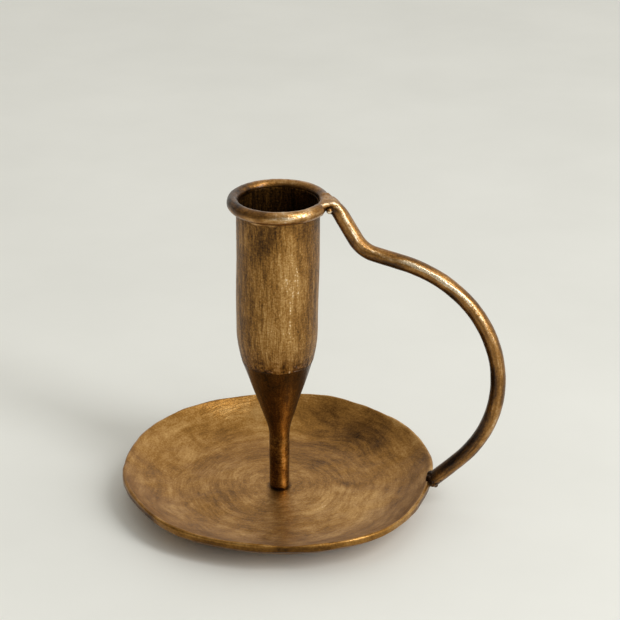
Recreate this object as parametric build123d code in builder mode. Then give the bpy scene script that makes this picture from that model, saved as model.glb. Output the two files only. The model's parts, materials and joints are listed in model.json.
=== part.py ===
from build123d import *
import os
from math import atan, cos, radians, sin, sqrt, tan

# A brass chamber candlestick: a tall candle cup on a funnel and a thin stem, standing in a
# hand-hammered drip plate, with a bent-rod carrying handle from the cup's rim to the plate's rim.
# Millimetres. The origin is the centre of the plate's underside, on the axis of the cup.
# +Z is up and +X points to the handle, which lies in the XZ plane.

# ---- Drip plate -----------------------------------------------------------------------------
plate_radius = 54.5        # the rim's outside, before the hammer marks
plate_thickness = 2.3
rim_height = 11.2          # top of the rim above the table
wall_reach = 23.5          # from the edge of the flat foot out to the rim
belly_inset = 11.0         # the wall's underside where it starts to steepen, in from the rim
belly_height = 2.3
rim_land = 0.4             # flat on top of the rim

# How far each eighteenth of a turn of the rim stands in or out, anticlockwise from +X.
rim_waver = (
    -0.9, -0.4, -0.4, -0.4, 0.7, -0.5, -0.2, 0.8, 0.6,
    0.1, 0.4, -0.2, 0.3, -0.6, -1.0, 0.2, 1.4, -0.2,
)

# ---- Stem and the screw that holds it from below --------------------------------------------
stem_radius = 3.5
stem_length = 20.0         # from the plate's floor to the tip of the funnel
stem_foot_chamfer = 0.4
spigot_radius = 2.5        # turned down to sit in the funnel's tip
spigot_length = 7.0
braze_gap = 0.05           # radial, round the spigot
screw_radius = 2.0         # M4, countersunk
screw_head_radius = 3.8
screw_head_recess = 0.15   # the head lies this far above the table
screw_length = 12.0
screw_slot_width = 1.0
screw_slot_depth = 1.0
screw_hole_gap = 0.2       # radial, where the screw passes the plate
thread_gap = 0.01          # radial, between the screw and its tapped hole
tapped_hole_spare = 1.5    # the hole is this much deeper than the screw

# ---- Funnel ---------------------------------------------------------------------------------
funnel_length = 30.2       # tip to seam
funnel_neck = 0.2          # straight part at the tip
funnel_blend_run = 3.1     # the blend from neck to cone runs this far each way from the corner
funnel_wall = 0.9
funnel_solid_tip = 12.0    # solid up to here, above the tip

# ---- Candle cup -----------------------------------------------------------------------------
seam_radius = 12.15        # outside of funnel and cup where they meet
bore_radius = 13.2         # takes a 22 mm taper candle
cup_wall = 0.7
shoulder_length = 12.8     # from the seam to the straight tube
tube_length = 44.6         # the straight tube, up to the rim ring's seat
seam_bead = 0.55           # radius of the braze bead round the seam
seam_bead_out = 0.15       # its centre, outside the seam

# ---- Rim ring -------------------------------------------------------------------------------
ring_half_width = 1.95
ring_half_height = 2.2
fillet_bead = 0.75         # radius of the braze under the ring
fillet_bead_out = 0.4      # its centre, out from the tube
fillet_bead_drop = 0.45    # and down from the corner

# ---- Handle ---------------------------------------------------------------------------------
handle_radius = 2.6
handle_drop = 0.25         # its axis leaves this far below the middle of the ring
ring_weld_gap = 0.5        # end of the rod to the ring
shoulder_inner_bend = 0.3
neck_angle = 59.0          # steepness of the run below the shoulder
neck_length = 11.2
dip_bend = 10.4
arm_angle = 14.0           # steepness of the run out to the loop
tail_angle = 46.0          # steepness of the run in to the plate
tail_length = 12.3
plate_weld_gap = 0.8       # the rim's edge to the end of the rod's axis
tail_drop = 0.2            # the rod's axis ends this far below the top of the rim

# ---- Welds ----------------------------------------------------------------------------------
web_half_width = 5.4       # where the web spreads along the ring
web_reach = 4.2            # out from the ring, to where it has narrowed to the rod
web_curve = 1.0            # how far its sides pull in
web_thickness = 2.3
web_drop = 0.1             # its top, below the top of the ring
bead_radius = 0.95         # drop of braze hanging under the web
bead_out = 0.4             # its centre, out from the ring
bead_side = 2.5            # and to the side of the handle
bead_drop = 0.8            # and below the middle of the ring
plate_weld_radius = 3.4
plate_weld_drop = 0.6      # its centre, below the top of the rim

# ---- Heights and radii that follow ----------------------------------------------------------
floor_z = plate_thickness
tip_z = floor_z + stem_length
seam_z = tip_z + funnel_length
tube_z = seam_z + shoulder_length
ring_z = tube_z + tube_length

foot_radius = plate_radius - wall_reach
belly_radius = plate_radius - belly_inset
cup_radius = bore_radius + cup_wall
ring_radius = bore_radius + ring_half_width
ring_outer_radius = ring_radius + ring_half_width

os.makedirs("parts", exist_ok=True)


def hammered_face(radius, height):
    """A flat face with the rim's wavering outline, brought in to a radius."""
    points = []
    for index, waver in enumerate(rim_waver):
        angle = radians(360 / len(rim_waver) * index)
        reach = (plate_radius + waver) * radius / plate_radius
        points.append((reach * cos(angle), reach * sin(angle)))
    with BuildSketch(Plane.XY.offset(height)) as outline:
        with BuildLine():
            Spline(*points, periodic=True)
        make_face()
    return outline.sketch


# The plate: a flat foot, a wall that curves up all round to a square-cut edge, and a
# countersunk hole in the middle.
with BuildPart() as drip_plate:
    loft([
        hammered_face(foot_radius, 0),
        hammered_face(belly_radius, belly_height),
        hammered_face(plate_radius, rim_height - plate_thickness),
    ])
    add(hammered_face(plate_radius, rim_height - plate_thickness))
    extrude(amount=plate_thickness)
    loft([
        hammered_face(foot_radius, floor_z),
        hammered_face(belly_radius, belly_height + plate_thickness),
        hammered_face(plate_radius - rim_land, rim_height),
    ], mode=Mode.SUBTRACT)
    with Locations(Location((0, 0, 0), (180, 0, 0))):
        CounterSinkHole(
            screw_radius + screw_hole_gap,
            screw_head_radius + screw_head_recess,
            counter_sink_angle=90,
        )
drip_plate.part.label = "drip_plate"
export_step(drip_plate.part, "parts/drip_plate.step")

# The countersunk screw, head down. Its head sits in the plate and its thread in the stem.
screw_top_z = screw_head_recess + screw_length
head_top_z = screw_head_recess + screw_head_radius - screw_radius
with BuildPart() as base_screw:
    with BuildSketch(Plane.XZ):
        with BuildLine():
            Polyline(
                (0, screw_head_recess),
                (screw_head_radius, screw_head_recess),
                (screw_radius, head_top_z),
                (screw_radius, screw_top_z - screw_radius / 4),
                (screw_radius * 0.75, screw_top_z),
                (0, screw_top_z),
                close=True,
            )
        make_face()
    revolve(axis=Axis.Z)
    with BuildSketch(Plane.XY.offset(screw_head_recess)):
        Rectangle(2 * screw_head_radius, screw_slot_width)
    extrude(amount=screw_slot_depth, mode=Mode.SUBTRACT)
base_screw.part.label = "base_screw"
export_step(base_screw.part, "parts/base_screw.step")

# The stem: a plain rod, tapped from below, with a spigot at the top.
tapped_hole_z = screw_top_z + tapped_hole_spare
with BuildPart() as stem_rod:
    with BuildSketch(Plane.XY.offset(floor_z)):
        Circle(stem_radius)
    extrude(amount=stem_length)
    chamfer(stem_rod.edges().sort_by(Axis.Z)[0], stem_foot_chamfer)
    with BuildSketch(Plane.XY.offset(tip_z)):
        Circle(spigot_radius)
    extrude(amount=spigot_length)
    with BuildSketch(Plane.XY.offset(floor_z)):
        Circle(screw_radius + thread_gap)
    extrude(amount=tapped_hole_z - floor_z, mode=Mode.SUBTRACT)
stem_rod.part.label = "stem_rod"
export_step(stem_rod.part, "parts/stem_rod.step")

# The funnel: solid round the stem's spigot, then a cone hollowed from above.
cone_z = tip_z + funnel_neck + funnel_blend_run
cone_slope = (seam_radius - stem_radius) / (seam_z - cone_z)
cone_angle = atan(cone_slope)
blend_radius = funnel_blend_run / tan(cone_angle / 2)
cone_wall_across = funnel_wall / cos(cone_angle)
pocket_z = tip_z + funnel_solid_tip
pocket_radius = stem_radius + (pocket_z - cone_z) * cone_slope - cone_wall_across
with BuildPart() as cup_funnel:
    with BuildSketch(Plane.XZ) as funnel_profile:
        with BuildLine():
            Polyline(
                (0, tip_z),
                (stem_radius, tip_z),
                (stem_radius, cone_z),
                (seam_radius, seam_z),
                (seam_radius - cone_wall_across, seam_z),
                (pocket_radius, pocket_z),
                (0, pocket_z),
                close=True,
            )
        make_face()
        neck_corner = funnel_profile.vertices().sort_by_distance((stem_radius, cone_z))[0]
        fillet(neck_corner, blend_radius)
    revolve(axis=Axis.Z)
    with BuildSketch(Plane.XY.offset(tip_z)):
        Circle(spigot_radius + braze_gap)
    extrude(amount=spigot_length + braze_gap, mode=Mode.SUBTRACT)
cup_funnel.part.label = "cup_funnel"
export_step(cup_funnel.part, "parts/cup_funnel.step")

# The cup: a straight tube, drawn in below by an arc to the seam.
with BuildPart() as candle_cup:
    with BuildSketch(Plane.XZ):
        with BuildLine():
            TangentArc((cup_radius, tube_z), (seam_radius, seam_z), tangent=(0, -1))
            Line((seam_radius, seam_z), (seam_radius - cup_wall, seam_z))
            TangentArc((bore_radius, tube_z), (seam_radius - cup_wall, seam_z), tangent=(0, -1))
            Line((bore_radius, tube_z), (bore_radius, ring_z))
            Line((bore_radius, ring_z), (cup_radius, ring_z))
            Line((cup_radius, ring_z), (cup_radius, tube_z))
        make_face()
    revolve(axis=Axis.Z)
candle_cup.part.label = "candle_cup"
export_step(candle_cup.part, "parts/candle_cup.step")

# The bead of braze round the outside of the seam between funnel and cup.
with BuildPart() as seam_braze:
    with BuildSketch(Plane.XZ):
        with Locations((seam_radius + seam_bead_out, seam_z)):
            Circle(seam_bead)
    revolve(axis=Axis.Z)
    add(cup_funnel.part, mode=Mode.SUBTRACT)
    add(candle_cup.part, mode=Mode.SUBTRACT)
seam_braze.part.label = "seam_braze"
export_step(seam_braze.part, "parts/seam_braze.step")

# The ring round the mouth, flush with the bore, stepped below to sit on the end of the tube.
with BuildPart() as rim_ring:
    with BuildSketch(Plane.XZ):
        with Locations((ring_radius, ring_z)):
            Ellipse(ring_half_width, ring_half_height)
    revolve(axis=Axis.Z)
    with BuildSketch(Plane.XY.offset(ring_z - ring_half_height)):
        Circle(cup_radius)
    extrude(amount=ring_half_height, mode=Mode.SUBTRACT)
rim_ring.part.label = "rim_ring"
export_step(rim_ring.part, "parts/rim_ring.step")

# The braze that fills the corner between the ring's underside and the tube.
corner_share = (cup_radius - ring_radius) / ring_half_width
corner_z = ring_z - ring_half_height * sqrt(1 - corner_share**2)
with BuildPart() as rim_braze:
    with BuildSketch(Plane.XZ):
        with Locations((cup_radius + fillet_bead_out, corner_z - fillet_bead_drop)):
            Circle(fillet_bead)
    revolve(axis=Axis.Z)
    add(rim_ring.part, mode=Mode.SUBTRACT)
    with BuildSketch(Plane.XY.offset(corner_z - 2 * fillet_bead)):
        Circle(cup_radius)
    extrude(amount=4 * fillet_bead, mode=Mode.SUBTRACT)
rim_braze.part.label = "rim_braze"
export_step(rim_braze.part, "parts/rim_braze.step")

# The handle's line, from the ring: shoulder, neck, dip, arm, loop and tail. The loop's radius
# and the arm's length are the two that make the tail end on the rim of the plate.
shoulder_bend = handle_radius + shoulder_inner_bend
rim_x = plate_radius + rim_waver[0]
start_x = ring_outer_radius + ring_weld_gap
start_z = ring_z - handle_drop
neck = radians(neck_angle)
arm = radians(arm_angle)
tail = radians(tail_angle)
end_x = rim_x + plate_weld_gap
end_z = rim_height - tail_drop
arm_start_x = start_x + shoulder_bend * sin(neck) + neck_length * cos(neck)
arm_start_x += dip_bend * (sin(neck) - sin(arm))
arm_start_z = start_z - shoulder_bend * (1 - cos(neck)) - neck_length * sin(neck)
arm_start_z -= dip_bend * (cos(arm) - cos(neck))
span_x = end_x + tail_length * cos(tail) - arm_start_x
span_z = arm_start_z - end_z - tail_length * sin(tail)
loop_across = sin(tail) - sin(arm)
loop_down = cos(arm) + cos(tail)
solve = cos(arm) * loop_down - sin(arm) * loop_across
loop_radius = (cos(arm) * span_z - sin(arm) * span_x) / solve
arm_length = (loop_down * span_x - loop_across * span_z) / solve
with BuildPart() as handle:
    with BuildLine(Plane.XZ) as handle_line:
        shoulder = JernArc((start_x, start_z), (1, 0), shoulder_bend, -neck_angle)
        run_down = Line(shoulder @ 1, shoulder @ 1 + (shoulder % 1) * neck_length)
        dip = JernArc(run_down @ 1, run_down % 1, dip_bend, neck_angle - arm_angle)
        run_out = Line(dip @ 1, dip @ 1 + (dip % 1) * arm_length)
        loop = JernArc(run_out @ 1, run_out % 1, loop_radius, arm_angle + tail_angle - 180)
        run_in = Line(loop @ 1, loop @ 1 + (loop % 1) * tail_length)
    with BuildSketch(Plane(origin=handle_line.line @ 0, z_dir=handle_line.line % 0)):
        Circle(handle_radius)
    sweep(path=handle_line.line)
handle.part.label = "handle"
export_step(handle.part, "parts/handle.step")

# The web brazed between ring and handle: wide along the ring, narrowing to the rod.
web_top_z = ring_z + ring_half_height - web_drop
web_tip_x = ring_outer_radius + web_reach
web_side_x = (ring_radius + web_tip_x) / 2
web_side_y = (web_half_width + handle_radius) / 2 - web_curve
with BuildPart() as handle_web:
    with BuildSketch(Plane.XY.offset(web_top_z - web_thickness)):
        with BuildLine():
            Line((ring_radius, -web_half_width), (ring_radius, web_half_width))
            ThreePointArc(
                (ring_radius, web_half_width),
                (web_side_x, web_side_y),
                (web_tip_x, handle_radius),
            )
            Line((web_tip_x, handle_radius), (web_tip_x, -handle_radius))
            ThreePointArc(
                (web_tip_x, -handle_radius),
                (web_side_x, -web_side_y),
                (ring_radius, -web_half_width),
            )
        make_face()
    extrude(amount=web_thickness)
    add(rim_ring.part, mode=Mode.SUBTRACT)
    add(handle.part, mode=Mode.SUBTRACT)
handle_web.part.label = "handle_web"
export_step(handle_web.part, "parts/handle_web.step")

# A drop of braze that ran down and hangs in the corner under the web.
with BuildPart() as web_bead:
    with Locations((ring_outer_radius + bead_out, -bead_side, ring_z - bead_drop)):
        Sphere(bead_radius)
    add(rim_ring.part, mode=Mode.SUBTRACT)
    add(handle.part, mode=Mode.SUBTRACT)
    add(handle_web.part, mode=Mode.SUBTRACT)
web_bead.part.label = "web_bead"
export_step(web_bead.part, "parts/web_bead.step")

# The weld that joins the handle's lower end to the rim of the plate.
with BuildPart() as handle_weld:
    with Locations((rim_x, 0, rim_height - plate_weld_drop)):
        Sphere(plate_weld_radius)
    add(drip_plate.part, mode=Mode.SUBTRACT)
    add(handle.part, mode=Mode.SUBTRACT)
handle_weld.part.label = "handle_weld"
export_step(handle_weld.part, "parts/handle_weld.step")
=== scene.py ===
import json
from math import acos, atan2, cos, pi, radians, sin, sqrt, tan

import bmesh
import bpy
import numpy as np
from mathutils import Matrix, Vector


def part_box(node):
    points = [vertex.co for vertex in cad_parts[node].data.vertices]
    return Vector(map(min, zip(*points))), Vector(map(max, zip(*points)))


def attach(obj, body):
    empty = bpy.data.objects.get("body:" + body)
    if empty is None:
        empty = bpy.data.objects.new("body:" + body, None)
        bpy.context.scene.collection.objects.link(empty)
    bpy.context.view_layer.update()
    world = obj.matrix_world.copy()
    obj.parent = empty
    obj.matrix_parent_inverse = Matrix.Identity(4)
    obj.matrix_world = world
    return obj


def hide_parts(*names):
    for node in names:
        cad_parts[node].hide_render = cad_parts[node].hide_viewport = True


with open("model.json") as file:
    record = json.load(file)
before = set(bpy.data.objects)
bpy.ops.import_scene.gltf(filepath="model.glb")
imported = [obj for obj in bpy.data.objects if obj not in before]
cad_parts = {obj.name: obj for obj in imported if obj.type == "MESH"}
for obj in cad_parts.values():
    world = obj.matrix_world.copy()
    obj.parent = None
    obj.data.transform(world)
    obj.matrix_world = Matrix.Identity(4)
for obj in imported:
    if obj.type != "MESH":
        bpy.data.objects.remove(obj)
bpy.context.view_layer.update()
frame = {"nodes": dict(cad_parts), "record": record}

import openvdb as vdb
from mathutils import Matrix, Vector

# The looks of a brass chamber candlestick, built round its CAD frame. Shapes are worked out in
# millimetres, in the frame's own axes, and made() turns them into metres.
MM = 0.001


def span(node):
    """Lowest and highest corner of a CAD node, in millimetres."""
    low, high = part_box(node)
    return np.array(low) / MM, np.array(high) / MM


# ---- Sizes that the frame gives ---------------------------------------------------------------
plate_high = span("drip_plate")[1]
stem_low, stem_high = span("stem_rod")
funnel_low, funnel_high = span("cup_funnel")
cup_high = span("candle_cup")[1]
ring_low, ring_high = span("rim_ring")
handle_high = span("handle")[1]
socket = frame["record"]["mounts"][0]

rim_top = plate_high[2]
floor_z = stem_low[2]
plate_thickness = floor_z
tip_z = funnel_low[2]
seam_z = funnel_high[2]
stem_radius = stem_high[1]
cup_radius = cup_high[1]
bore_radius = socket["dims"]["r_mm"]
tube_z = socket["pos_m"][2] / MM - socket["dims"]["length_mm"] / 2
ring_z = (ring_low[2] + ring_high[2]) / 2
ring_half_height = (ring_high[2] - ring_low[2]) / 2
ring_outer_radius = ring_high[1]
ring_half_width = (ring_outer_radius - bore_radius) / 2
ring_radius = bore_radius + ring_half_width
handle_radius = handle_high[1]

# ---- Sizes that repeat the CAD source's -------------------------------------------------------
plate_radius = 54.5
wall_reach = 23.5
screw_hole_radius = 2.2
screw_head_radius = 3.95
seam_radius = 12.15
funnel_wall = 0.9
funnel_solid_tip = 12.0
cup_wall = 0.7
web_half_width = 5.4
web_reach = 4.2
web_drop = 0.1
neck, arm, tail = radians(59.0), radians(14.0), radians(46.0)     # how steep the handle's runs are
neck_length = 11.2
dip_bend = 10.4
tail_length = 12.3
shoulder_inner_bend = 0.3
ring_weld_gap = 0.5
handle_drop = 0.25
plate_weld_gap = 0.8
tail_drop = 0.2

# ---- Sizes that follow ------------------------------------------------------------------------
foot_radius = plate_radius - wall_reach
wall_rise = rim_top - plate_thickness
web_top = ring_high[2] - web_drop
web_tip_x = ring_outer_radius + web_reach

# ---- Sizes of the looks alone -----------------------------------------------------------------
rim_land = 0.9                # width of the flat top of the plate's rim
funnel_cone_start = 3.3       # from the funnel's tip up to the corner between neck and cone
funnel_blend_radius = 20.0    # which rounds that corner
web_thickness = 1.6           # thinner than the CAD's, so the ring's own end shows under it
web_tip_half_width = 1.5      # the web's front side where it has narrowed to the rod
web_front_pull = 0.55         # how early the front side draws in
web_back_half_width = 7.0     # the web's back side along the ring
web_back_taper = 5.8          # what the back side loses on its way to the tip
weld_sink = 0.07              # how far a weld's hidden body lies under the pieces that it joins


# ---- Shared shape tools -----------------------------------------------------------------------
def ripple(points, wavelength, seed, waves=24):
    """Smooth noise, mostly -1 to 1: a sum of plane waves in seeded directions."""
    random = np.random.default_rng(seed)
    directions = random.normal(size=(waves, 3))
    directions /= np.linalg.norm(directions, axis=1)[:, None]
    turns = 2 * pi / (wavelength * random.uniform(0.7, 1.7, waves))
    phases = random.uniform(0, 2 * pi, waves)
    return np.sin(points @ (directions * turns[:, None]).T + phases).sum(-1) * sqrt(2 / waves) * 0.7


def smooth_step(values, start, end):
    """0 before start, 1 after end, and a smooth rise between them."""
    share = np.clip((values - start) / (end - start), 0, 1)
    return share * share * (3 - 2 * share)


def blob(points, centre, size):
    """1 at a place and fading to 0 about a size away from it."""
    away = (points - np.array(centre)) / np.array(size)
    return np.exp(-(away ** 2).sum(-1))


def blobs(points, spots):
    """A sum of blobs, each with its strength, its centre and its size."""
    return sum(strength * blob(points, centre, size) for strength, centre, size in spots)


def circle(count):
    """Evenly spaced angles, once round."""
    return np.arange(count) * 2 * pi / count


def rounded(corners, step, closed=True):
    """Points about a step apart on straight runs, with an arc at each corner (x, z, radius)."""
    nearly_straight = 0.01
    count = len(corners)
    points = []
    for index, (x, z, radius) in enumerate(corners):
        here = np.array((x, z))
        if not closed and index in (0, count - 1):
            points.append(here)
            continue
        before = np.array(corners[index - 1][:2]) - here
        after = np.array(corners[(index + 1) % count][:2]) - here
        before = before / np.linalg.norm(before)
        after = after / np.linalg.norm(after)
        turn = pi - acos(np.clip(before @ after, -1, 1))
        if radius == 0 or turn < nearly_straight:
            points.append(here)
            continue
        run = radius * tan(turn / 2)
        middle = here + (before + after) / np.linalg.norm(before + after) * radius / cos(turn / 2)
        start = here + before * run - middle
        side = here + after * run - middle
        side = side - start * (start @ side) / radius**2
        side = side / np.linalg.norm(side) * radius
        arc_steps = max(3, round(radius * turn / step))
        for share in np.linspace(0, turn, arc_steps + 1):
            points.append(middle + start * cos(share) + side * sin(share))
    filled = []
    ends = points[1:] + ([points[0]] if closed else [])
    for first, second in zip(points, ends):
        pieces = max(1, round(np.linalg.norm(second - first) / step))
        for piece in range(pieces):
            filled.append(first + (second - first) * piece / pieces)
    if not closed:
        filled.append(points[-1])
    return np.array(filled)


def run_lengths(profile):
    """How far along the profile each of its points is, as a column."""
    steps = np.linalg.norm(np.diff(profile, axis=0), axis=1)
    return np.concatenate([[0], np.cumsum(steps)])[:, None]


def turned(profile, angles):
    """A profile turned round Z, as a grid with a row for each of its points."""
    grid = np.empty((len(profile), len(angles), 3))
    grid[..., 0] = profile[:, :1] * np.cos(angles)
    grid[..., 1] = profile[:, :1] * np.sin(angles)
    grid[..., 2] = profile[:, 1:]
    return grid


def from_z(points):
    """How far points are from the Z axis."""
    return np.hypot(points[..., 0], points[..., 1])


def turned_marks(grid, round_scale, along):
    """Coordinates for marks: a unit is one mark's length round the axis, or along the profile."""
    around = np.arctan2(grid[..., 1], grid[..., 0])
    along = np.broadcast_to(along, around.shape)
    return np.stack([round_scale * np.cos(around), round_scale * np.sin(around), along], -1)


def pushed(grid, amount, closed_rows=True):
    """The grid moved along its own normals by an amount at each point."""
    if closed_rows:
        along = np.roll(grid, -1, 0) - np.roll(grid, 1, 0)
    else:
        along = np.gradient(grid, axis=0)
    across = np.roll(grid, -1, 1) - np.roll(grid, 1, 1)
    normal = np.cross(across, along)
    length = np.linalg.norm(normal, axis=-1, keepdims=True)
    normal = normal / np.maximum(length, 1e-9)
    return grid + normal * amount[..., None]


def grid_faces(rows, columns, closed_rows):
    """Quads over a grid that is closed across, and along too if its rows close."""
    row, column = np.meshgrid(
        np.arange(rows if closed_rows else rows - 1), np.arange(columns), indexing="ij"
    )
    next_row = (row + 1) % rows
    next_column = (column + 1) % columns
    corners = [
        row * columns + column,
        row * columns + next_column,
        next_row * columns + next_column,
        next_row * columns + column,
    ]
    return np.stack(corners, -1).reshape(-1, 4).tolist()


def made(name, node, slot, points, faces, material, **attributes):
    """A closed mesh piece that stands for a CAD node, with its vertex attributes."""
    mesh = bpy.data.meshes.new(name)
    mesh.from_pydata((points.reshape(-1, 3) * MM).tolist(), [], faces)
    for key, values in attributes.items():
        if values.shape[-1] == 3 and values.ndim > 1:
            layer = mesh.attributes.new(key, "FLOAT_VECTOR", "POINT")
            layer.data.foreach_set("vector", values.astype(np.float32).ravel())
        else:
            layer = mesh.attributes.new(key, "FLOAT", "POINT")
            layer.data.foreach_set("value", values.astype(np.float32).ravel())
    cleaned = bmesh.new()
    cleaned.from_mesh(mesh)
    bmesh.ops.recalc_face_normals(cleaned, faces=cleaned.faces)
    cleaned.to_mesh(mesh)
    cleaned.free()
    mesh.shade_smooth()
    mesh.materials.append(material)
    piece = bpy.data.objects.new(name, mesh)
    bpy.context.scene.collection.objects.link(piece)
    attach(piece, "root")
    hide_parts(node)
    return piece


def made_grid(name, node, slot, grid, material, closed_rows=True, **attributes):
    """A piece from a grid of points. Where its rows don't close, each end is a point."""
    rows, columns = grid.shape[:2]
    points = grid.reshape(-1, 3)
    faces = grid_faces(rows, columns, closed_rows)
    flat = {key: values.reshape(rows * columns, -1).squeeze() for key, values in attributes.items()}
    if not closed_rows:
        for first, centre in ((0, grid[0].mean(0)), ((rows - 1) * columns, grid[-1].mean(0))):
            points = np.vstack([points, centre])
            for column in range(columns):
                faces.append([first + column, first + (column + 1) % columns, len(points) - 1])
            for key, values in flat.items():
                end = values[first:first + columns].mean(0)
                flat[key] = np.concatenate([values, end[None]])
    return made(name, node, slot, points, faces, material, **flat)


def surface_of(field, low, high, voxel):
    """Points and faces of the surface where a field of signed distances is zero."""
    axes = [np.arange(first, last, voxel) for first, last in zip(low, high)]
    places = np.stack(np.meshgrid(*axes, indexing="ij"), -1)
    far_away = 10.0
    volume = vdb.FloatGrid(far_away)
    volume.copyFromArray(field(places).astype(np.float32))
    points, triangles, quads = volume.convertToPolygons(isovalue=0.0, adaptivity=0.0)
    return points * voxel + np.array(low), triangles.tolist() + quads.tolist()


def joined(first, second, blend):
    """Two fields of distances as one body, with a fillet where they meet."""
    share = np.clip(0.5 + 0.5 * (second - first) / blend, 0, 1)
    return second * (1 - share) + first * share - blend * share * (1 - share)


def kept(first, second, blend):
    """What two fields of distances both hold, with a rounded edge."""
    return -joined(-first, -second, blend)


# ---- The plate's outline and the handle's line ------------------------------------------------
def plate_outline(angles):
    """How far the hammered rim reaches at each angle, read from the CAD plate's own edge."""
    points = np.array([vertex.co for vertex in frame["nodes"]["drip_plate"].data.vertices]) / MM
    reach = from_z(points)
    on_edge = (abs(points[:, 2] - wall_rise) < 0.05) & (reach > plate_radius - 1.4)
    around = np.arctan2(points[on_edge, 1], points[on_edge, 0])
    order = np.argsort(around)
    return np.interp(angles, around[order], reach[on_edge][order], period=2 * pi)


rim_x = float(plate_outline(0.0))
shoulder_bend = handle_radius + shoulder_inner_bend
handle_start = (ring_outer_radius + ring_weld_gap, ring_z - handle_drop)
handle_end = (rim_x + plate_weld_gap, rim_top - tail_drop)
bend_x, bend_z = handle_start[0], handle_start[1] - shoulder_bend
bend_top = shoulder_bend + handle_radius


def handle_runs():
    """The handle's line as runs of (length, turn), with turns to the left positive."""
    arm_x = handle_start[0] + shoulder_bend * sin(neck) + neck_length * cos(neck)
    arm_x += dip_bend * (sin(neck) - sin(arm))
    arm_z = handle_start[1] - shoulder_bend * (1 - cos(neck)) - neck_length * sin(neck)
    arm_z -= dip_bend * (cos(arm) - cos(neck))
    span_x = handle_end[0] + tail_length * cos(tail) - arm_x
    span_z = arm_z - handle_end[1] - tail_length * sin(tail)
    across = sin(tail) - sin(arm)
    down = cos(arm) + cos(tail)
    solve = cos(arm) * down - sin(arm) * across
    loop_radius = (cos(arm) * span_z - sin(arm) * span_x) / solve
    arm_length = (down * span_x - across * span_z) / solve
    loop_turn = pi - arm - tail
    return [
        (shoulder_bend * neck, -neck),
        (neck_length, 0),
        (dip_bend * (neck - arm), neck - arm),
        (arm_length, 0),
        (loop_radius * loop_turn, -loop_turn),
        (tail_length, 0),
    ]


def handle_line(step, before=0.0, after=0.0):
    """Runs, points and headings along the handle, from before its start to after its end."""
    runs = handle_runs()
    whole = sum(length for length, turn in runs)
    along = np.linspace(-before, whole + after, round((whole + before + after) / step) + 1)
    heading = np.zeros_like(along)
    start = 0.0
    for length, turn in runs:
        heading += turn * np.clip((along - start) / length, 0, 1)
        start += length
    middle = (heading[1:] + heading[:-1]) / 2
    pace = along[1] - along[0]
    x = np.concatenate([[0], np.cumsum(np.cos(middle) * pace)]) - before + handle_start[0]
    z = np.concatenate([[0], np.cumsum(np.sin(middle) * pace)]) + handle_start[1]
    return along, np.stack([x, np.zeros_like(x), z], -1), heading


# ---- Materials --------------------------------------------------------------------------------
def add_node(tree, kind, inputs=None, **settings):
    """A shader node with its settings. An input is a value, or another node's output to link."""
    node = tree.nodes.new(kind)
    for key, value in settings.items():
        setattr(node, key, value)
    for socket, value in (inputs or {}).items():
        if isinstance(value, bpy.types.NodeSocket):
            tree.links.new(value, node.inputs[socket])
        else:
            node.inputs[socket].default_value = value
    return node


def maths(tree, operation, first, second=0.0, third=0.0, clamp=False):
    """The outcome of a sum in the shader."""
    inputs = {0: first, 1: second, 2: third}
    return add_node(tree, "ShaderNodeMath", inputs, operation=operation, use_clamp=clamp).outputs[0]


def noise(tree, vector, scale, detail=3.0, roughness=0.55, distortion=0.0):
    """Noise, nearly all of it between 0.3 and 0.7."""
    inputs = {
        "Vector": vector, "Scale": scale, "Detail": detail,
        "Roughness": roughness, "Distortion": distortion,
    }
    return add_node(tree, "ShaderNodeTexNoise", inputs).outputs["Fac"]


def spread(tree, value, low, high):
    """A value with low to high stretched to 0 to 1, and held within them."""
    inputs = {"Value": value, "From Min": low, "From Max": high}
    return add_node(tree, "ShaderNodeMapRange", inputs, clamp=True).outputs[0]


def full_noise(tree, *settings):
    """Noise stretched to fill 0 to 1."""
    return spread(tree, noise(tree, *settings), 0.3, 0.7)


def ramp(tree, value, stops):
    """Colours for a value, from stops of (place, colour)."""
    node = add_node(tree, "ShaderNodeValToRGB", {0: value})
    elements = node.color_ramp.elements
    while len(elements) < len(stops):
        elements.new(0.5)
    for element, (place, colour) in zip(elements, stops):
        element.position = place
        element.color = (*colour, 1)
    return node.outputs["Color"]


PATINA = (0.026, 0.012, 0.004)
BROWN = (0.135, 0.060, 0.012)
BRONZE = (0.320, 0.155, 0.034)
GOLD = (0.600, 0.360, 0.130)
# Pale bare brass, which is also the colour that painted highlights reach at their brightest.
BARE_AND_HIGHLIGHT = (0.900, 0.740, 0.520)
BRASS_STOPS = [(0.0, PATINA), (0.3, BROWN), (0.58, BRONZE), (0.94, GOLD), (1.0, BARE_AND_HIGHLIGHT)]
ROD_STOPS = [
    (0.0, (0.020, 0.008, 0.002)), (0.3, (0.100, 0.042, 0.007)),
    (0.58, (0.285, 0.130, 0.026)), (0.8, (0.490, 0.280, 0.105)), (1.0, BARE_AND_HIGHLIGHT),
]
DARK_STOPS = [
    (0.0, (0.022, 0.009, 0.002)), (0.3, (0.110, 0.044, 0.007)),
    (0.6, (0.320, 0.170, 0.036)), (1.0, (0.640, 0.420, 0.150)),
]
COPPER_STOPS = [
    (0.0, (0.030, 0.014, 0.005)), (0.35, (0.160, 0.070, 0.020)),
    (0.65, (0.330, 0.150, 0.046)), (1.0, (0.760, 0.430, 0.190)),
]
BLOTCH_SCALE = 90.0       # blotches and specks to a metre
SPECK_SCALE = 1500.0
BROAD_SCALE = 0.28        # broad marks to one fine mark


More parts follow.
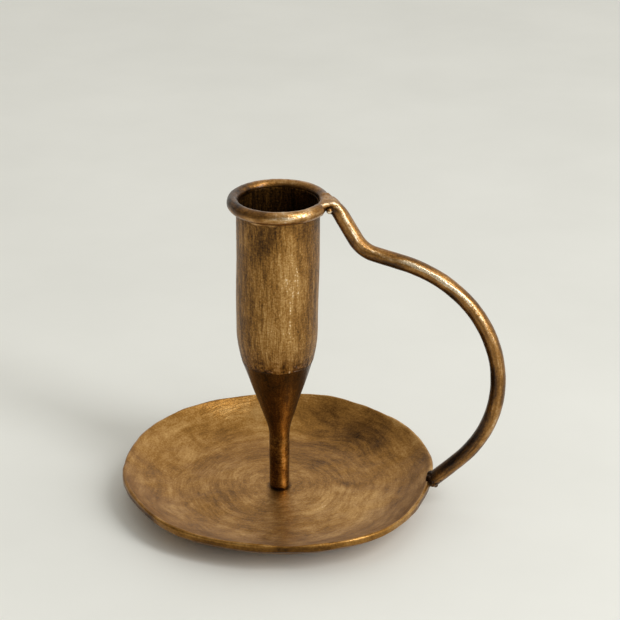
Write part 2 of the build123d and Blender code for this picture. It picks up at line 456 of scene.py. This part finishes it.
def brass(name, tone, streak, blotch, speckle, rough, bump, coat=0.4, coat_rough=0.24,
          stops=BRASS_STOPS):
    """Aged brass. Its marks lie along the piece's own marks coordinates, blotches and specks in
    space. The attribute for stains and painted shade darkens it, and the one for wear and painted
    highlights brightens it."""
    material = bpy.data.materials.new(name)
    material.use_nodes = True
    tree = material.node_tree
    shader = tree.nodes["Principled BSDF"]
    marks = add_node(tree, "ShaderNodeAttribute", attribute_name="marks").outputs["Vector"]
    stain = add_node(tree, "ShaderNodeAttribute", attribute_name="stain").outputs["Fac"]
    worn = add_node(tree, "ShaderNodeAttribute", attribute_name="worn").outputs["Fac"]
    place = add_node(tree, "ShaderNodeTexCoord").outputs["Object"]
    fine_marks = full_noise(tree, marks, 1.0, 4.0, 0.65, 0.3)
    broad_marks = full_noise(tree, marks, BROAD_SCALE, 3.0, 0.5, 0.4)
    blotches = full_noise(tree, place, BLOTCH_SCALE, 4.0, 0.6, 0.8)
    specks = full_noise(tree, place, SPECK_SCALE, 2.0, 0.7)
    middle_specks = maths(tree, "SUBTRACT", specks, 0.5)
    parts = ((fine_marks, streak), (broad_marks, streak), (blotches, blotch), (specks, speckle))
    value = tone
    for part, strength in parts:
        value = maths(tree, "MULTIPLY_ADD", maths(tree, "SUBTRACT", part, 0.5), strength, value)
    value = maths(tree, "SUBTRACT", value, stain)
    value = maths(tree, "ADD", value, worn, clamp=True)
    tree.links.new(ramp(tree, value, stops), shader.inputs["Base Color"])
    shader.inputs["Metallic"].default_value = 1.0
    shader.inputs["Coat Weight"].default_value = coat
    shader.inputs["Coat Roughness"].default_value = coat_rough
    # Dark brass is duller than bright brass, and its specks make it uneven.
    gloss = maths(tree, "MULTIPLY_ADD", value, -0.16, rough + 0.24)
    gloss = maths(tree, "MULTIPLY_ADD", middle_specks, 0.10, gloss)
    tree.links.new(gloss, shader.inputs["Roughness"])
    height = maths(tree, "MULTIPLY_ADD", specks, 0.5, fine_marks)
    height = maths(tree, "MULTIPLY_ADD", blotches, 0.6, height)
    inputs = {"Height": height, "Strength": bump, "Distance": 0.0002}
    bumped = add_node(tree, "ShaderNodeBump", inputs)
    tree.links.new(bumped.outputs["Normal"], shader.inputs["Normal"])
    return material


def screw_steel():
    """Plain turned steel: fine rings round the axis and a few dull spots."""
    material = bpy.data.materials.new("screw_steel")
    material.use_nodes = True
    tree = material.node_tree
    shader = tree.nodes["Principled BSDF"]
    place = add_node(tree, "ShaderNodeTexCoord").outputs["Object"]
    flat = add_node(tree, "ShaderNodeVectorMath", {0: place, 1: (1, 1, 0)}, operation="MULTIPLY")
    across = add_node(tree, "ShaderNodeVectorMath", {0: flat.outputs[0]}, operation="LENGTH")
    rings_to_a_metre = 9000
    ring_number = maths(tree, "MULTIPLY", across.outputs["Value"], rings_to_a_metre)
    rings = add_node(tree, "ShaderNodeCombineXYZ", {0: ring_number})
    turning = noise(tree, rings.outputs[0], 1.0, 3.0)
    spots = spread(tree, noise(tree, place, 700.0, 3.0), 0.45, 0.75)
    colours = [(0.0, (0.52, 0.50, 0.47)), (1.0, (0.24, 0.20, 0.16))]
    tree.links.new(ramp(tree, spots, colours), shader.inputs["Base Color"])
    shader.inputs["Metallic"].default_value = 1.0
    tree.links.new(maths(tree, "MULTIPLY_ADD", spots, 0.25, 0.28), shader.inputs["Roughness"])
    inputs = {"Height": turning, "Strength": 0.25, "Distance": 0.0001}
    bumped = add_node(tree, "ShaderNodeBump", inputs)
    tree.links.new(bumped.outputs["Normal"], shader.inputs["Normal"])
    return material


# ---- The drip plate ---------------------------------------------------------------------------
# Stains and painted shade: strength, centre and size. The first three are painted shade, a dark
# reflection on the back right of the dish's wall. Those below nothing are paler than the brass round
# them.
PLATE_STAINS_AND_SHADE = (
    (0.30, (27, 37, 6), (13, 9, 9)), (0.24, (8, 48, 7), (13, 5, 9)),
    (0.18, (15, 36, 4), (10, 6, 9)), (0.15, (23, 6, 2), (4, 2, 5)),
    (0.12, (-19, -14, 2), (6, 6, 9)), (0.12, (10, 20, 2), (9, 6, 9)),
    (-0.08, (-20, 42, 7), (14, 8, 9)), (-0.10, (20, -12, 3), (14, 12, 9)),
)
# How far out the turning marks are, and how many there are within. They are closest on the floor.
MARK_RADII = (0, 26, 34, 60)
MARK_COUNTS = (0, 54, 64, 86)


def foot_corner(reach, height):
    """The corner between floor and wall, with the bend that makes nearly all of the wall's curve."""
    slope = 2 * atan2(wall_rise, reach)
    bend = reach / sin(slope)
    return foot_radius + bend * tan(slope / 2), height, bend * 0.95


def plate():
    """A shallow hammered dish with a square-cut edge and a countersunk hole in the middle."""
    corners = [
        (screw_head_radius, 0, 0.1), foot_corner(wall_reach, 0),
        (plate_radius, wall_rise, 0.6), (plate_radius, rim_top, 0.6),
        (plate_radius - rim_land, rim_top, 0.3), foot_corner(wall_reach - rim_land, plate_thickness),
        (screw_hole_radius, plate_thickness, 0),
        (screw_hole_radius, screw_head_radius - screw_hole_radius, 0),
    ]
    angles = circle(480)
    grid = turned(rounded(corners, 0.5), angles)
    from_axis = from_z(grid)
    waver = plate_outline(angles) / plate_radius - 1
    share = 1 + waver * smooth_step(from_axis, 8, foot_radius)
    grid[..., :2] *= share[..., None]
    hammered = 0.16 * ripple(grid, 17, 3) + 0.05 * ripple(grid, 6, 4)
    grid = pushed(grid, hammered * smooth_step(from_axis, 10, 24))
    sag = 0.22 * (1 + ripple(grid * (1, 1, 0), 45, 9))
    grid[..., 2] -= sag * smooth_step(from_axis, foot_radius, plate_radius)
    grid[..., 2] = np.maximum(grid[..., 2], 0.0)
    height = grid[..., 2]
    reach = from_axis / share
    on_edge = smooth_step(reach, plate_radius - 0.35, plate_radius - 0.02)

    stain = blobs(grid, PLATE_STAINS_AND_SHADE)
    # Painted shade in the corner round the stem's foot.
    stain += 0.35 * (1 - smooth_step(from_axis, stem_radius + 0.2, stem_radius + 1.2))
    # Painted shade: low on the underside the plate is evenly darker.
    stain = np.where(height > floor_z - 0.6, stain, 0.12)
    # Painted shade on the rim's outer edge, below its top.
    stain += 0.22 * on_edge * (1 - smooth_step(height, rim_top - 1.2, rim_top - 0.6))
    # Painted shade on the rim's edge at the front left, the side away from the light.
    front_left = smooth_step(-grid[..., 1] - 0.8 * grid[..., 0], 10, 35)
    stain += 0.08 * front_left * smooth_step(reach, plate_radius - 2.0, plate_radius - 1.0)

    # Wear along the rim's top, brighter towards the front right as a painted highlight.
    top_line = smooth_step(height, rim_top - 1.1, rim_top - 0.5)
    top_line *= smooth_step(reach, plate_radius - 1.5, plate_radius - 0.9)
    worn = 0.20 * top_line * (0.6 + 0.4 * ripple(grid, 7, 12))
    worn *= 0.25 + 0.75 * smooth_step(grid[..., 0] - 0.3 * grid[..., 1], -10, 25)
    # A painted highlight on the rim's front right.
    worn += 0.80 * on_edge * blob(grid, (35, -41, rim_top - 0.9), (8, 7, 1.0))

    along = np.interp(from_axis, MARK_RADII, MARK_COUNTS) + 1.8 * ripple(grid, 26, 16)
    made_grid(
        "drip_plate_visual", "drip_plate", "plate_brass", grid,
        brass("plate_brass", tone=0.58, streak=0.19, blotch=0.26, speckle=0.22, rough=0.22,
              bump=0.34, coat=0.05),
        marks=turned_marks(grid, 6.5, along), stain=stain, worn=worn,
    )


# ---- The stem, the funnel and the cup ---------------------------------------------------------
# The cup stands a little out of true: it leans aside above the stem and comes back at its mouth.
LEAN_HEIGHTS = (0, 24, 40, 62, 90, 112)
LEAN_AMOUNTS = (0, 0, 0.35, 0.65, 0.30, 0.12)
LEAN_WAY = np.array((-0.98, -0.20, 0.0))


def painted_highlight_streak(grid, strength):
    """A painted highlight: a bright streak down the stem and funnel, on the side towards the handle
    and the front.
    """
    around = np.arctan2(grid[..., 1], grid[..., 0]) + radians(55)
    return strength * np.exp(-(around / radians(20)) ** 2) * (0.8 + 0.4 * ripple(grid, 3.5, 15))


def leaned(grid):
    """The grid moved aside by the cup's lean at each height."""
    amount = np.interp(grid[..., 2], LEAN_HEIGHTS, LEAN_AMOUNTS)
    return grid + amount[..., None] * LEAN_WAY


def stem():
    """The round rod that stands on the plate. Its top end is hidden in the funnel's tip."""
    foot_z, hidden_top_z = floor_z - 0.02, tip_z + 1.0
    corners = [
        (0, foot_z, 0), (stem_radius - 0.15, foot_z, 0.35), (stem_radius, floor_z + 1.0, 2.0),
        (stem_radius, hidden_top_z, 0.1), (0, hidden_top_z, 0),
    ]
    profile = rounded(corners, 0.25, closed=False)[1:-1]
    grid = turned(profile, circle(96))
    grid = pushed(grid, 0.035 * ripple(grid * (1, 1, 0.6), 4, 21), closed_rows=False)
    grid[..., 2] = np.maximum(grid[..., 2], floor_z - 0.05)
    height = grid[..., 2]
    # Painted shade at the foot, where the stem meets the plate, and up under the funnel's tip.
    stain = 0.30 * (1 - smooth_step(height, floor_z + 0.3, floor_z + 1.6))
    stain += 0.12 * smooth_step(height, tip_z - 6, tip_z)
    # The streak down its front right is a painted highlight.
    made_grid(
        "stem_visual", "stem_rod", "stem_brass", grid,
        brass("stem_brass", tone=0.42, streak=0.24, blotch=0.30, speckle=0.35, rough=0.24,
              bump=0.30, stops=DARK_STOPS),
        closed_rows=False, marks=turned_marks(grid, 3.0, run_lengths(profile) / 0.35),
        stain=stain, worn=painted_highlight_streak(grid, 0.40),
    )


def funnel():
    """The cone under the cup, with a solid tip and its hollow hidden above it."""
    cone_z = tip_z + funnel_cone_start
    hidden_top = 0.4
    slope = (seam_radius - stem_radius) / (seam_z - cone_z)
    across = funnel_wall * sqrt(1 + slope**2)
    pocket_z = tip_z + funnel_solid_tip
    pocket_radius = stem_radius + (pocket_z - cone_z) * slope - across
    tip_radius = stem_radius + 0.02
    corners = [
        (0, tip_z, 0), (tip_radius, tip_z, 0.15), (tip_radius, cone_z, funnel_blend_radius),
        (seam_radius + hidden_top * slope, seam_z + hidden_top, 0),
        (seam_radius - across, seam_z + hidden_top, 0),
        (pocket_radius, pocket_z, 0.5), (0, pocket_z, 0),
    ]
    profile = rounded(corners, 0.4, closed=False)[1:-1]
    grid = turned(profile, circle(160))
    grid = leaned(pushed(grid, 0.06 * ripple(grid, 9, 31), closed_rows=False))
    height = grid[..., 2]
    # It is darker up towards the seam, and the streak down its front right is a painted highlight.
    made_grid(
        "cup_funnel_visual", "cup_funnel", "stem_brass", grid,
        brass("funnel_brass", tone=0.30, streak=0.22, blotch=0.22, speckle=0.30, rough=0.24,
              bump=0.22, stops=DARK_STOPS),
        closed_rows=False, marks=turned_marks(grid, 9.0, run_lengths(profile) / 7.0),
        stain=0.12 * smooth_step(height, tip_z + 4, seam_z - 6),
        worn=painted_highlight_streak(grid, 0.26) * (1 - smooth_step(height, seam_z - 14, seam_z)),
    )


# Stains and painted light: strength, centre and size. The first two are stains under the mouth. The
# third and fourth are painted shade, dark reflections down the left and the right side. The fifth,
# below nothing, is a painted highlight right of the middle, and the last is a paler patch low in
# front.
CUP_STAINS_SHADE_AND_HIGHLIGHT = (
    (0.34, (-0.8, -14, 102), (3.2, 6, 5)), (0.16, (-3, -14, 97), (3, 6, 4)),
    (0.16, (-10, -9, 75), (5, 9, 40)), (0.12, (12.5, -5, 80), (3, 5, 30)),
    (-0.12, (6, -13, 82), (5, 8, 22)), (-0.08, (0, -14, 66), (6, 8, 9)),
)


def cup():
    """The straight tube that takes the candle, with a curved shoulder down to the seam."""
    drop = tube_z - seam_z
    inset = cup_radius - seam_radius
    bend = (drop**2 + inset**2) / (2 * inset)
    slope = 2 * atan2(inset, drop)
    shoulder_z = tube_z - bend * tan(slope / 2)
    shoulder_bend_radius = bend * 0.98
    corners = [
        (seam_radius, seam_z, 0.1), (cup_radius, shoulder_z, shoulder_bend_radius),
        (cup_radius, ring_z, 0.1), (bore_radius, ring_z, 0.1),
        (bore_radius, shoulder_z, shoulder_bend_radius), (seam_radius - cup_wall, seam_z, 0.1),
    ]
    profile = rounded(corners, 0.5)
    grid = turned(profile, circle(240))
    inside = from_z(grid) < cup_radius - cup_wall * 0.6
    dents = 0.05 * ripple(grid, 15, 41) + 0.012 * ripple(grid, 2.5, 42)
    grid = leaned(pushed(grid, dents))
    height = grid[..., 2]
    low_band = 1 - smooth_step(height, seam_z + 1, seam_z + 6)
    mottle = smooth_step(ripple(grid * (1, 1, 1.6), 2.4, 43), 0.1, 0.8)

    # Stains and painted light from the list, and painted shade under the ring, darker towards the
    # top.
    stain = blobs(grid, CUP_STAINS_SHADE_AND_HIGHLIGHT) + 0.12 * smooth_step(height, 96, 108)
    stain += low_band * (0.08 + 0.34 * mottle)
    # Painted shade inside the bore.
    stain = np.where(inside & (height > tube_z), 0.40, stain)
    worn = 0.50 * smooth_step(ripple(grid, 1.3, 44), 0.75, 1.3) * low_band
    # The flecks are brighter towards the right: a painted highlight.
    worn *= 0.25 + 0.75 * smooth_step(grid[..., 0], -1, 6)
    worn += 0.30 * blob(grid, (1.4, -12.4, seam_z + 1.8), (1.8, 3, 1.0))
    # A painted highlight down the front right of the tube, flickering along it.
    highlight_flicker = 0.6 + 0.6 * ripple(grid * (1, 1, 0.3), 4, 45)
    worn += 0.05 * blob(grid, (6, -12.5, 82), (2.4, 6, 24)) * highlight_flicker
    made_grid(
        "candle_cup_visual", "candle_cup", "cup_brass", grid,
        brass("cup_brass", tone=0.55, streak=0.34, blotch=0.22, speckle=0.38, rough=0.30,
              bump=0.50, coat=0.15),
        marks=turned_marks(grid, 36.0, run_lengths(profile) / 4.0), stain=stain, worn=worn,
    )


# ---- The braze at the seam and under the ring -------------------------------------------------
def uneven_ring(radius, height, half_width, half_height, lean, seed):
    """A bead laid round the cup: its width, height and place wander, and it is lumpy."""
    angles = circle(420)
    section = circle(28)[:, None]
    around = np.stack([radius * np.cos(angles), radius * np.sin(angles), np.zeros_like(angles)], -1)
    wide = half_width * (1 + 0.22 * ripple(around, 6, seed))
    tall = half_height * (1 + 0.30 * ripple(around, 8, seed + 1))
    middle = height + 0.25 * ripple(around, 10, seed + 2)
    up = middle + tall * np.sin(section)
    reach = radius + lean * (up - height) + wide * np.cos(section)
    grid = np.stack([reach * np.cos(angles), reach * np.sin(angles), up], -1)
    return pushed(grid, 0.06 * ripple(grid, 1.6, seed + 3))


def seam_braze():
    """The thin run of braze where funnel and cup meet, with a bare coppery patch in front."""
    grid = leaned(uneven_ring(seam_radius - 0.03, seam_z + 0.7, 0.20, 1.6, 0.3, 51))
    copper = blob(grid, (1.6, -12.2, seam_z + 0.6), (2.4, 3, 1.6))
    worn = 0.50 * copper + 0.34 * smooth_step(ripple(grid, 1.4, 56), 0.7, 1.3)
    stain = 0.10 + 0.28 * smooth_step(ripple(grid, 2.2, 57), 0.1, 0.9) * (1 - copper)
    made_grid(
        "seam_braze_visual", "seam_braze", "braze", grid,
        brass("seam_braze", tone=0.50, streak=0.25, blotch=0.30, speckle=0.50, rough=0.38,
              bump=0.8, stops=COPPER_STOPS),
        marks=grid / 1.3, stain=stain, worn=worn,
    )


def rim_braze():
    """The braze under the ring, with two lobes that ran down in front."""
    grid = uneven_ring(cup_radius + 0.15, ring_z - 2.05, 0.75, 0.75, 0, 61)
    lobes = blobs(grid, (
        (0.95, (-4.2, -14.2, ring_z - 2.3), (2.6, 4, 2)),
        (0.70, (1.2, -14.2, ring_z - 2.3), (1.7, 4, 2)),
    ))
    grid = leaned(pushed(grid, lobes))
    worn = 0.6 * lobes + 0.15 * smooth_step(ripple(grid, 3, 66), 0.2, 1)
    made_grid(
        "rim_braze_visual", "rim_braze", "braze", grid,
        brass("rim_braze", tone=0.42, streak=0.2, blotch=0.4, speckle=0.25, rough=0.34, bump=0.5),
        marks=grid / 1.5, stain=np.full_like(worn, 0.14), worn=worn,
    )


# ---- The ring round the mouth -----------------------------------------------------------------
RING_END = radians(-18.0)     # the ring's own rod ends here, and the web carries on
RING_STAINS = (
    (0.30, (-10, -12, ring_z + 1), (6, 6, 2)),
    (0.22, (-16, -4, ring_z + 1), (4, 8, 3)),
)
# Painted highlights: one on the ring's front right and a fainter one on its lower front. Strength,
# centre and size.
RING_PAINTED_HIGHLIGHTS = (
    (0.34, (10, -14, ring_z + 1.2), (6, 5, 1.6)),
    (0.16, (-4, -16, ring_z - 0.6), (5, 5, 1.0)),
)


def ring():
    """The rod bent round the mouth. It is thinner under the web, and it keeps clear of the bore."""
    angles = circle(480)
    section = circle(40)[:, None]
    signed = (angles + pi) % (2 * pi) - pi
    under_web = smooth_step(signed, RING_END, RING_END + 0.035)
    under_web *= 1 - smooth_step(signed, 0.22, 0.36)
    thinner = ring_half_width * 0.20 * under_web
    reach = ring_radius - thinner + (ring_half_width - thinner) * np.cos(section)
    up = ring_z + ring_half_height * (1 - 0.16 * under_web) * np.sin(section)
    grid = np.stack([reach * np.cos(angles), reach * np.sin(angles), up], -1)
    grid = pushed(grid, 0.05 * ripple(grid, 7, 71) + 0.02 * ripple(grid, 2.2, 72))
    out = from_z(grid)
    over = out < bore_radius
    grid[over, :2] *= (bore_radius / out[over])[:, None]
    grid[..., 2] = np.minimum(grid[..., 2], ring_high[2])

    stain = blobs(grid, RING_STAINS)
    stain += 0.30 * (1 - smooth_step(abs(signed - RING_END - 0.02), 0.0, 0.03))
    # Painted shade on the ring's inner side, by the bore.
    stain += 0.35 * smooth_step(-out, -bore_radius - 0.5, -bore_radius)
    marks = 2.6 * np.cos(angles), 2.6 * np.sin(angles), 2.2 * np.sin(section)
    made_grid(
        "rim_ring_visual", "rim_ring", "rod_brass", grid,
        brass("ring_brass", tone=0.50, streak=0.34, blotch=0.45, speckle=0.18, rough=0.20,
              bump=0.32, coat=0.35, coat_rough=0.16, stops=ROD_STOPS),
        marks=np.stack(np.broadcast_arrays(*marks), -1), stain=stain,
        worn=blobs(grid, RING_PAINTED_HIGHLIGHTS),
    )


# ---- The handle -------------------------------------------------------------------------------
FLAT_WAY = radians(-45)       # the rod is a little flattened this way round its section
HIGHLIGHT_WAY = radians(60)       # and painted bright along this line of it, as a highlight


def handle():
    """The bent rod from the ring to the plate, darker beneath with painted shade and patina, and
    painted bright along its crest as a highlight.
    """
    along, line, heading = handle_line(0.6, before=0.8, after=0.3)
    section = circle(56)
    outward = np.stack([-np.sin(heading), np.zeros_like(heading), np.cos(heading)], -1)
    side = np.array((0.0, -1.0, 0.0))
    down_rod = along[:, None]
    near_web = 1 - smooth_step(down_rod, 1.5, 5.0)
    flat = 0.16 * near_web * smooth_step(np.cos(section - FLAT_WAY), 0, 1)
    way_out = np.cos(section)[None, :, None] * outward[:, None]
    way_aside = np.sin(section)[None, :, None] * side
    grid = line[:, None] + handle_radius * (1 - flat[..., None]) * (way_out + way_aside)
    dents = 0.04 * ripple(grid, 11, 81) + 0.015 * ripple(grid, 3, 82)
    grid = pushed(grid, dents, closed_rows=False)

    # The rod is darker beneath: painted shade, and patina.
    under = smooth_step(-np.cos(section + 0.35 * ripple(grid, 9, 85)), -0.15, 0.95)
    lower_side = smooth_step(-np.cos(section), -0.6, 0.0)
    stain = 0.38 * under + 0.10 * smooth_step(ripple(grid, 9, 83), 0.3, 1.2)
    stain += 0.30 * (1 - smooth_step(abs(down_rod - along[-1]), 0.5, 4.0))
    # Painted shade on the rod's lower side, where it leaves the web.
    stain += 0.35 * (1 - smooth_step(down_rod, 1.0, 3.5)) * lower_side
    # Some wear at random, and a painted highlight along one line of the rod that fades down the
    # loop.
    off_highlight = section - HIGHLIGHT_WAY + 0.08 * ripple(grid, 9, 86)
    highlight_line = smooth_step(np.cos(off_highlight), 0.94, 0.995)
    highlight_line *= (1 - 0.65 * smooth_step(down_rod, 40, 90)) * (0.95 + 0.2 * ripple(grid, 5, 87))
    worn = 0.10 * smooth_step(ripple(grid, 12, 84), 0.2, 1.0) + 0.44 * highlight_line
    marks = down_rod / 6.0, 2.9 * np.cos(section), 2.9 * np.sin(section)
    made_grid(
        "handle_visual", "handle", "rod_brass", grid,
        brass("handle_brass", tone=0.49, streak=0.28, blotch=0.28, speckle=0.20, rough=0.20,
              bump=0.35, coat=0.35, coat_rough=0.16, stops=ROD_STOPS),
        closed_rows=False, marks=np.stack(np.broadcast_arrays(*marks), -1), stain=stain, worn=worn,
    )


# ---- The web, the bead and the weld on the plate ----------------------------------------------
def ring_field(places):
    """Distance from the ring's rod."""
    out = from_z(places) - ring_radius
    up = (places[..., 2] - ring_z) * ring_half_width / ring_half_height
    return np.hypot(out, up) - ring_half_width


def rod_field(places, first, last):
    """Distance from the handle's rod, for the part of its line between two shares of its length."""
    line = handle_line(0.5)[1]
    part = line[int(first * len(line)):int(last * len(line)) + 1]
    nearest = np.full(places.shape[:-1], 1e9)
    for point in part:
        nearest = np.minimum(nearest, np.linalg.norm(places - point, axis=-1))
    return nearest - handle_radius


def over_web(x, z):
    """How far a place is over the web's top, which is level and then follows the rod's bend."""
    return np.where(x > bend_x, np.hypot(x - bend_x, z - bend_z) - bend_top, z - web_top)


def web_share(x):
    """How far out a place is: 0 at the middle of the ring's rod and 1 at the web's tip."""
    return np.clip((x - ring_radius) / (web_tip_x - ring_radius), 0, 1)


def web_front(x):
    """The web's half-width on its front side."""
    return web_half_width + (web_tip_half_width - web_half_width) * web_share(x) ** web_front_pull


def web():
    """The web brazed between ring and handle, with the ends of both rods melted into it."""
    fillet = 0.6
    web_middle, web_room, web_stretch = (17.4, 0, ring_z + 0.3), 4.2, (1.35, 1.75, 1)

    def field(places):
        x, y, z = places[..., 0], places[..., 1], places[..., 2]
        share = web_share(x)
        half = np.where(y < 0, web_front(x), web_back_half_width - web_back_taper * share)
        ends = np.maximum(x - web_tip_x, ring_radius - 0.5 - x)
        # The top slopes down towards the back, and dips into the rod at the tip.
        over = over_web(x, z) + 0.40 * share * np.maximum(y, 0) + 0.6 * share**4
        slab = kept(np.maximum(abs(y) - half, ends), np.maximum(over, -over - web_thickness), fillet)
        # The rods' own ends lie hidden, the handle's deeper on the back side.
        rod = rod_field(places, 0.0, 0.12) + weld_sink + 0.8 * smooth_step(y, 0, 1.5)
        core = joined(ring_field(places) + 0.3, rod, fillet)
        core = kept(core, ring_z - 1.3 - z, 0.4)
        core = np.maximum(core, x - bend_x - 1.4)
        body = joined(core, slab, fillet) + 0.04 * ripple(places, 2.4, 91)
        near = np.linalg.norm((places - web_middle) / web_stretch, axis=-1) - web_room
        bore = bore_radius + 0.05 - from_z(places)
        return np.maximum(np.maximum(body, near), np.maximum(bore, z - ring_high[2]))

    points, faces = surface_of(field, (11, -8, ring_z - 5), (25, 8, ring_z + 4), 0.22)
    x, y = points[:, 0], points[:, 1]
    fall = -over_web(x, points[:, 2])
    # Painted shade where the surface falls away below the web's top, near the bend.
    stain = 0.50 * smooth_step(fall, 1.0, 1.7) * (1 - smooth_step(x, bend_x + 0.5, bend_x + 2.0))
    # A painted highlight along the web's front edge.
    highlight_line = (1 - smooth_step(fall, 0.5, 1.1)) * smooth_step(-y - web_front(x), -0.9, -0.3)
    made(
        "handle_web_visual", "handle_web", "rod_brass", points, faces,
        brass("web_brass", tone=0.60, streak=0.16, blotch=0.16, speckle=0.26, rough=0.30,
              bump=0.35, coat=0.2, stops=ROD_STOPS),
        marks=points / 2.5, stain=stain, worn=0.28 * highlight_line,
    )


def bead():
    """The drop of braze that hangs in the corner under the web."""
    low, high = span("web_bead")
    radius = 1.0
    centre = np.array((high[0] - radius, low[1] + radius - 0.45, low[2] + radius))
    root_centre = centre + (0, 0.9, 0.7)

    def field(places):
        drop = np.linalg.norm(places - centre, axis=-1) - radius
        root = np.linalg.norm((places - root_centre) / (0.8, 0.8, 1.0), axis=-1) - 0.75
        return joined(drop, root, 0.5) + 0.03 * ripple(places, 1.2, 95)

    points, faces = surface_of(field, centre - 2.2, centre + 2.6, 0.11)
    # A painted reflection: the drop is brighter on its underside.
    worn = 0.50 * smooth_step(-points[:, 2], -centre[2] - 0.4, -centre[2] + 0.1)
    made(
        "web_bead_visual", "web_bead", "braze", points, faces,
        brass("bead_brass", tone=0.55, streak=0.2, blotch=0.2, speckle=0.25, rough=0.24, bump=0.3),
        marks=points, stain=np.zeros_like(worn), worn=worn,
    )


def plate_field(places):
    """Distance from the plate's wall near the handle, about."""
    bend = (wall_reach**2 + wall_rise**2) / (2 * wall_rise)
    out = from_z(places) * plate_radius / rim_x
    under = bend - np.sqrt(np.maximum(bend**2 - (out - foot_radius) ** 2, 1))
    across_wall = 0.8         # a height up the sloping wall, as a distance from it
    below = (under - places[..., 2]) * across_wall
    above = (places[..., 2] - under - plate_thickness) * across_wall
    above = np.maximum(above, places[..., 2] - rim_top)
    return np.maximum(np.maximum(below, above), out - plate_radius)


def plate_weld():
    """The lumpy weld where the handle's end meets the plate's rim."""
    end = np.array((handle_end[0], 0, handle_end[1]))
    random = np.random.default_rng(7)
    lumps = []
    for _ in range(16):
        around = random.uniform(-pi, pi)
        ring_place = np.array((0.0, 2.2 * sin(around), 2.1 * cos(around)))
        ring_place[0] = -0.4 - 0.5 * ring_place[2] + random.uniform(-0.3, 0.5)
        lumps.append((end + ring_place, random.uniform(0.5, 0.9)))

    def field(places):
        body = joined(plate_field(places), rod_field(places, 0.86, 1.0), 0.8) + weld_sink
        for centre, radius in lumps:
            body = joined(body, np.linalg.norm(places - centre, axis=-1) - radius, 0.5)
        body = body + 0.06 * ripple(places, 1.3, 97)
        near = np.linalg.norm(places - end - (0.2, 0, 0.2), axis=-1) - 4.3
        # Nothing far from the handle's end, and nothing high above the rim.
        return np.maximum(np.maximum(body, near), places[..., 2] - rim_top - 2.6)

    points, faces = surface_of(field, end - 5.5, end + 5.5, 0.2)
    on_top = smooth_step(points[:, 2], rim_top - 1.5, rim_top + 0.6)
    away = np.linalg.norm(points - end, axis=-1)
    stain = (0.15 + 0.55 * on_top) * (1 - 0.6 * smooth_step(away, 3.2, 4.2))
    # A painted reflection: the weld is brighter low down.
    worn = 0.45 * (1 - smooth_step(points[:, 2], rim_top - 3.8, rim_top - 2.6))
    made(
        "handle_weld_visual", "handle_weld", "braze", points, faces,
        brass("weld_brass", tone=0.42, streak=0.2, blotch=0.3, speckle=0.6, rough=0.30,
              bump=0.6, coat=0.1, stops=ROD_STOPS),
        marks=points / 1.5, stain=stain, worn=worn,
    )


plate()
stem()
funnel()
cup()
seam_braze()
rim_braze()
ring()
handle()
web()
bead()
plate_weld()
screw = frame["nodes"]["base_screw"]
screw.data.materials.clear()
screw.data.materials.append(screw_steel())


# ---- Floor, light and camera ------------------------------------------------------------------
def floor():
    """A pale, faintly mottled surface that the candlestick stands on."""
    material = bpy.data.materials.new("floor")
    material.use_nodes = True
    tree = material.node_tree
    shader = tree.nodes["Principled BSDF"]
    place = add_node(tree, "ShaderNodeTexCoord").outputs["Object"]
    mottle = noise(tree, place, 9.0, 4.0)
    colours = [(0.3, (0.80, 0.81, 0.77)), (0.7, (0.85, 0.86, 0.82))]
    tree.links.new(ramp(tree, mottle, colours), shader.inputs["Base Color"])
    shader.inputs["Roughness"].default_value = 0.9
    mesh = bpy.data.meshes.new("floor")
    half = 6.0
    corners = [(-half, -half, 0), (half, -half, 0), (half, half, 0), (-half, half, 0)]
    mesh.from_pydata(corners, [], [(0, 1, 2, 3)])
    mesh.materials.append(material)
    piece = bpy.data.objects.new("floor", mesh)
    bpy.context.scene.collection.objects.link(piece)


def softbox(name, azimuth, elevation, distance, width, height, power):
    """A soft light that faces the candlestick, from a direction in degrees. Sizes in metres."""
    light = bpy.data.lights.new(name, "AREA")
    light.shape = "RECTANGLE"
    light.size = width
    light.size_y = height
    light.energy = power
    lamp = bpy.data.objects.new(name, light)
    around, up = radians(azimuth), radians(elevation)
    way = Vector((cos(up) * cos(around), cos(up) * sin(around), sin(up)))
    lamp.location = Vector((0, 0, 0.06)) + way * distance
    lamp.rotation_euler = way.to_track_quat("Z", "Y").to_euler()
    bpy.context.scene.collection.objects.link(lamp)


def room():
    """Pale surroundings: brighter above and behind, darker low in front."""
    world = bpy.data.worlds.new("room")
    bpy.context.scene.world = world
    world.use_nodes = True
    tree = world.node_tree
    way = add_node(tree, "ShaderNodeTexCoord").outputs["Generated"]
    towards = add_node(
        tree, "ShaderNodeVectorMath", {0: way, 1: (0.45, 0.75, 0.35)}, operation="DOT_PRODUCT"
    ).outputs["Value"]
    colours = [(0.0, (0.16, 0.145, 0.125)), (0.45, (0.50, 0.48, 0.44)), (1.0, (1.0, 0.98, 0.93))]
    shown = ramp(tree, spread(tree, towards, -0.8, 0.8), colours)
    background = tree.nodes["Background"]
    tree.links.new(shown, background.inputs["Color"])
    background.inputs["Strength"].default_value = 0.95


def camera():
    """The viewer: high in front, a little to the right, with hardly any roll."""
    data = bpy.data.cameras.new("camera")
    data.sensor_width = 36.0
    data.lens = 103.05
    data.clip_end = 20.0
    viewer = bpy.data.objects.new("camera", data)
    way = Vector((-0.1679, 0.8913, -0.4211)).normalized()
    roll = 0.0047
    level = way.cross(Vector((0, 0, 1))).normalized()
    right = level * cos(roll) + level.cross(way) * sin(roll)
    up = right.cross(way)
    viewer.matrix_world = Matrix((right, up, -way)).transposed().to_4x4()
    viewer.location = Vector((110.95, -532.33, 323.16)) * MM
    bpy.context.scene.collection.objects.link(viewer)
    bpy.context.scene.camera = viewer


floor()
room()
softbox("key", -25, 34, 1.2, 0.28, 1.25, 9)
camera()
bpy.context.scene.view_settings.view_transform = "Standard"
